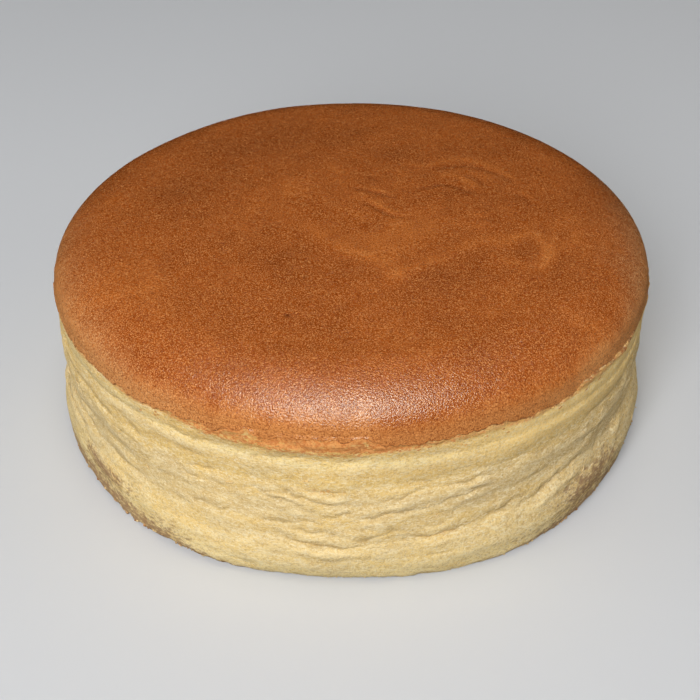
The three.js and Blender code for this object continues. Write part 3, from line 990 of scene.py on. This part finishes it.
class Nodes:
    """Short names for adding shader nodes to one material."""

    def __init__(self, name):
        self.material = bpy.data.materials.new(name)
        self.material.use_nodes = True
        self.tree = self.material.node_tree
        self.shader = self.tree.nodes["Principled BSDF"]
        object_place = self.tree.nodes.new("ShaderNodeTexCoord").outputs["Object"]
        self.position = self.scaled(object_place, (1 / METRE,) * 3)

    def put(self, socket, value):
        """Links what another node puts out, or sets a value."""
        if isinstance(value, bpy.types.NodeSocket):
            self.tree.links.new(value, socket)
        else:
            socket.default_value = from_srgb(value) if socket.type == "RGBA" else value

    def add(self, kind, inputs, **settings):
        made = self.tree.nodes.new(kind)
        for key, value in settings.items():
            setattr(made, key, value)
        for key, value in inputs.items():
            self.put(made.inputs[key], value)
        return made

    def scaled(self, vector, scales):
        return self.add("ShaderNodeVectorMath", {0: vector, 1: scales}, operation="MULTIPLY").outputs[0]

    def stretched(self, across, up):
        """Position with its level directions and its height scaled apart, for streaky noise."""
        return self.scaled(self.position, (across, across, up))

    def attribute(self, name):
        return self.add("ShaderNodeAttribute", {}, attribute_name=name).outputs["Fac"]

    def noise(self, scale, detail=2.0, roughness=0.5, distortion=0.0, vector=None):
        inputs = {"Vector": vector or self.position, "Scale": scale, "Detail": detail, "Roughness": roughness}
        return self.add("ShaderNodeTexNoise", {**inputs, "Distortion": distortion}).outputs["Fac"]

    def math(self, operation, a, b, clamp=False):
        return self.add("ShaderNodeMath", {0: a, 1: b}, operation=operation, use_clamp=clamp).outputs[0]

    def plus(self, a, b, clamp=False):
        return self.math("ADD", a, b, clamp)

    def times(self, a, b):
        return self.math("MULTIPLY", a, b)

    def swing(self, noise, width):
        """Noise of 0 to 1 moved to both sides of 0."""
        return self.times(self.math("SUBTRACT", noise, 0.5), width)

    def remap(self, value, low, high, to_low=0.0, to_high=1.0):
        inputs = {"Value": value, "From Min": low, "From Max": high, "To Min": to_low, "To Max": to_high}
        return self.add("ShaderNodeMapRange", inputs, interpolation_type="SMOOTHSTEP").outputs["Result"]

    def blend(self, share, under, over):
        inputs = {0: share, 6: under, 7: over}
        return self.add("ShaderNodeMix", inputs, data_type="RGBA").outputs[2]

    def cover(self, under, over, most, value, low, high):
        """Lays a colour over another: none of it where the value is low, `most` of it where it is high."""
        return self.blend(self.remap(value, low, high, 0.0, most), under, over)

    def ramp(self, value, stops):
        made = self.add("ShaderNodeValToRGB", {"Fac": value})
        elements = made.color_ramp.elements
        for _ in stops[2:]:
            elements.new(1.0)
        for element, (position, colour) in zip(elements, stops):
            element.position = position
            element.color = from_srgb(colour)
        return made.outputs["Color"]

    def bump(self, height, distance, **normal):
        inputs = {"Height": height, "Distance": distance * METRE, **normal}
        return self.add("ShaderNodeBump", inputs).outputs["Normal"]

    def finish(self, **inputs):
        for key, value in inputs.items():
            self.put(self.shader.inputs[key.replace("_", " ")], value)
        return self.material


def skin_material():
    n = Nodes("browned_skin")
    above_edge = n.attribute("above_edge")
    rim = n.remap(above_edge, 10.0, 1.5)
    mottle = n.noise(0.16, 2.0, 0.6)
    warmth = n.plus(n.times(n.attribute("tone"), 0.26), n.swing(n.noise(0.045, 3.0, 0.55, 0.4), 0.5))
    warmth = n.plus(warmth, n.swing(mottle, 0.3))
    warmth = n.plus(warmth, n.times(n.remap(above_edge, 13.0, 4.0), 0.2))
    colour = n.ramp(n.plus(warmth, 0.5, clamp=True), [
        (0.0, (122, 53, 13)), (0.35, (146, 68, 17)), (0.55, (164, 80, 23)), (0.75, (190, 103, 39)),
        (1.0, (230, 155, 84)),
    ])
    # paler towards the torn edge
    colour = n.blend(n.times(rim, 0.4), colour, (244, 174, 102))
    # painted sheen: the rim paler at the sides, where light falls on it and reflects
    painted_rim_sheen = n.attribute("painted_rim_sheen")
    colour = n.blend(n.times(painted_rim_sheen, 0.16), colour, (252, 198, 130))
    # dense speckle: dark pits and paler grains
    colour = n.cover(colour, (122, 50, 7), 0.74, n.noise(1.45, 3.0, 0.75), 0.54, 0.36)
    dents = n.times(n.remap(n.noise(2.6, 2.0, 0.7), 0.5, 0.36), rim)
    colour = n.blend(n.times(dents, 0.6), colour, (140, 64, 18))
    # the pale grains are paler still in the painted sheen
    grain = n.blend(painted_rim_sheen, (240, 164, 96), (248, 196, 138))
    colour = n.cover(colour, grain, 0.62, n.noise(2.4, 2.0, 0.7), 0.48, 0.64)
    colour = n.blend(n.times(n.attribute("blemish"), 0.8), colour, (84, 38, 16))
    torn = n.times(n.remap(above_edge, 0.8, 0.0), n.remap(mottle, 0.4, 0.6))
    colour = n.blend(n.times(torn, 0.35), colour, (140, 76, 34))

    roughness = n.plus(n.remap(n.noise(0.3, 2.0), 0.3, 0.7, 0.22, 0.28), n.times(rim, 0.1))
    normal = n.bump(n.noise(1.9, 1.0, 0.6), 0.24)
    return n.finish(Base_Color=colour, Roughness=roughness, Normal=normal, IOR=1.5)


CREAM = (252, 228, 174)
PALE_GRAIN = (255, 240, 200)


def sponge_material():
    n = Nodes("sponge")
    drift = n.swing(n.noise(0.09, 3.0, 0.6, 0.3, n.stretched(0.7, 1.6)), 0.12)
    colour = n.ramp(n.plus(n.math("DIVIDE", n.attribute("level"), 56.0), drift), [
        (0.0, (255, 228, 160)), (0.12, (254, 226, 156)), (0.18, (240, 209, 139)), (0.29, (245, 214, 148)),
        (0.38, (230, 198, 133)), (0.60, (221, 191, 133)), (0.70, (234, 197, 119)), (0.77, (235, 196, 118)),
        (0.83, (252, 224, 155)), (0.87, (247, 205, 122)), (1.0, (242, 193, 104)),
    ])
    # layers, yellow and grey patches, painted light on the ridges, and darker hollows of painted shade and
    # moister crumb
    streaks = n.noise(0.32, 4.0, 0.62, 0.3, n.stretched(0.5, 1.3))
    patches = n.noise(0.1, 3.0, 0.6, 0.6, n.stretched(0.6, 1.5))
    painted_relief_shading = n.attribute("painted_relief_shading")
    colour = n.cover(colour, CREAM, 0.45, streaks, 0.48, 0.64)
    colour = n.cover(colour, (220, 184, 116), 0.4, streaks, 0.5, 0.36)
    colour = n.cover(colour, (242, 202, 116), 0.4, patches, 0.52, 0.66)
    colour = n.cover(colour, (216, 190, 140), 0.35, patches, 0.48, 0.36)
    colour = n.cover(colour, CREAM, 0.35, painted_relief_shading, 0.05, 0.9)
    colour = n.cover(colour, (190, 158, 98), 0.3, painted_relief_shading, -0.05, -0.9)
    # painted light under the skin on the right
    colour = n.blend(n.times(n.attribute("painted_light_under_skin"), 0.85), colour, (255, 216, 136))
    # pores, pale grains and fine strands of the crumb
    pores = n.noise(1.05, 3.0, 0.68)
    grains = n.noise(1.9, 2.0, 0.6)
    strands = n.noise(1.5, 2.0, 0.6, 0.8, n.stretched(0.45, 1.3))
    crumbly = n.attribute("crumbly")
    pitted = n.times(n.remap(pores, 0.52, 0.36), n.plus(n.times(crumbly, 0.18), 0.42))
    colour = n.blend(pitted, colour, (190, 150, 88))
    colour = n.cover(colour, PALE_GRAIN, 0.35, grains, 0.5, 0.66)
    furry = n.times(n.remap(strands, 0.5, 0.66), n.plus(n.times(crumbly, 0.2), 0.5))
    colour = n.blend(furry, colour, PALE_GRAIN)
    # painted shade in the creases, and the creases' stains
    crease_shade = n.times(n.attribute("crease_shade"), n.remap(streaks, 0.75, 0.35, 0.45, 1.0))
    colour = n.cover(colour, (160, 132, 84), 0.5, crease_shade, 0.1, 0.9)
    stain = n.times(n.attribute("stain"), n.remap(n.noise(0.7, 3.0, 0.6), 0.4, 0.62, 0.2, 1.0))
    colour = n.cover(colour, (214, 146, 68), 0.85, stain, 0.05, 0.8)
    # toasted foot, with painted shade low on the wall
    speckle = n.swing(n.noise(0.6, 4.0, 0.7, 0.0, n.stretched(0.7, 1.4)), 1.7)
    toast_and_shade = n.plus(n.times(n.attribute("toast_and_shade"), 0.75), speckle)
    colour = n.cover(colour, (152, 108, 76), 0.8, toast_and_shade, 0.32, 0.8)
    # peeled rim: brown skin left in streaks over ochre sponge, the ochre darker towards the lip, and painted
    # shadow right under the lip
    below_skin = n.attribute("below_skin")
    torn = n.noise(0.85, 4.0, 0.7, 0.5, n.stretched(0.42, 1.2))
    ochre = n.blend(n.remap(torn, 0.44, 0.58), (224, 178, 100), (253, 224, 156))
    ochre = n.cover(ochre, (206, 140, 72), 0.6, below_skin, 3.6, 0.8)
    colour = n.cover(colour, ochre, 0.85, n.attribute("peeled"), 0.1, 0.9)
    browned = n.attribute("browned")
    flecks = n.noise(1.3, 3.0, 0.68, 0.3, n.stretched(0.6, 1.2))
    left = n.plus(n.plus(n.times(torn, 0.5), n.times(flecks, 0.5)), n.times(browned, 0.2))
    left = n.times(n.remap(left, 0.55, 0.64, 0.0, 0.88), n.remap(browned, 0.02, 0.2))
    colour = n.blend(left, colour, n.blend(n.remap(pores, 0.42, 0.58), (204, 118, 56), (230, 154, 86)))
    # painted shadow: a thin broken dark line under the skin's lip
    lip = n.times(n.remap(below_skin, 0.9, 0.2), n.remap(flecks, 0.36, 0.52))
    lip = n.times(lip, n.remap(n.noise(0.2, 2.0, 0.6), 0.42, 0.58, 0.15, 0.8))
    colour = n.blend(lip, colour, (136, 72, 32))

    coarse = n.noise(0.8, 4.0, 0.7, 0.0, n.stretched(0.9, 1.2))
    normal = n.bump(n.plus(n.times(pores, 0.55), n.times(coarse, 0.35)), 0.6)
    return n.finish(Base_Color=colour, Roughness=0.85, Normal=n.bump(grains, 0.27, Normal=normal), IOR=1.35)


def bit_material(name, pale, toasted, roughness):
    n = Nodes(name)
    pores = n.noise(1.8, 3.0, 0.7)
    colour = n.cover(n.blend(n.attribute("tint"), pale, toasted), (140, 96, 50), 0.35, pores, 0.5, 0.3)
    return n.finish(Base_Color=colour, Roughness=roughness, Normal=n.bump(pores, 0.2), IOR=1.35)


# ---- stage, lights and camera
def add_camera():
    pitch = math.atan((IMAGE_SIDE / 2 - HORIZON_ROW) / FOCAL_PIXELS)
    data = bpy.data.cameras.new("camera")
    data.sensor_width = SENSOR
    data.lens = FOCAL_PIXELS / IMAGE_SIDE * SENSOR
    data.clip_start = 0.02
    aside = (IMAGE_SIDE / 2 - MIDDLE_COLUMN) / FOCAL_PIXELS * CAMERA_DISTANCE
    back = CAMERA_DISTANCE * math.cos(pitch)
    up = AIM_HEIGHT + CAMERA_DISTANCE * math.sin(pitch)
    camera = bpy.data.objects.new("camera", data)
    camera.location = (aside * METRE, -back * METRE, up * METRE)
    camera.rotation_euler = (math.pi / 2 - pitch, 0, 0)
    bpy.context.scene.collection.objects.link(camera)
    bpy.context.scene.camera = camera


def add_light(light):
    turn, rise = math.radians(light.azimuth), math.radians(light.elevation)
    towards = Vector((math.sin(turn) * math.cos(rise), -math.cos(turn) * math.cos(rise), math.sin(rise)))
    data = bpy.data.lights.new(light.name, "AREA")
    data.shape = "RECTANGLE"
    data.size, data.size_y = light.size
    data.energy = light.power
    data.color = light.colour
    data.use_shadow = light.shadow
    lamp = bpy.data.objects.new(light.name, data)
    lamp.location = LIGHTS_AIM + towards * light.distance
    lamp.rotation_euler = towards.to_track_quat("Z", "Y").to_euler()
    lamp.visible_diffuse = light.diffuse
    lamp.visible_glossy = light.glossy
    bpy.context.scene.collection.objects.link(lamp)


def add_stage():
    corners = np.array([[-1, -1, 0], [1, -1, 0], [1, 1, 0], [-1, 1, 0]]) * FLOOR_HALF
    material = Nodes("floor").finish(Base_Color=FLOOR_COLOUR, Roughness=0.9)
    floor = make_object("floor", corners, [[0, 1, 2, 3]], material, smooth=False)
    floor.visible_diffuse = False  # no light comes back from the floor
    floor.visible_glossy = False

    world = bpy.data.worlds.new("world")
    world.use_nodes = True
    background = world.node_tree.nodes["Background"]
    background.inputs["Color"].default_value = (1, 1, 1, 1)
    background.inputs["Strength"].default_value = WORLD_STRENGTH
    world.cycles_visibility.glossy = False
    bpy.context.scene.world = world
    for light in LIGHTS:
        add_light(light)
    bpy.context.scene.view_settings.view_transform = "Standard"


# ---- the whole
belongs(make_skin(skin_material()))
sponge, surface = make_sponge(sponge_material())
belongs(sponge)
crumb_finish = bit_material("crumbs", (238, 210, 156), (176, 122, 72), 0.85)
belongs(make_crumbs(surface, crumb_finish))
belongs(make_fibres(surface, crumb_finish))
belongs(make_flakes(surface, bit_material("rim_flakes", (222, 178, 106), (188, 110, 54), 0.7)))
add_stage()
add_camera()
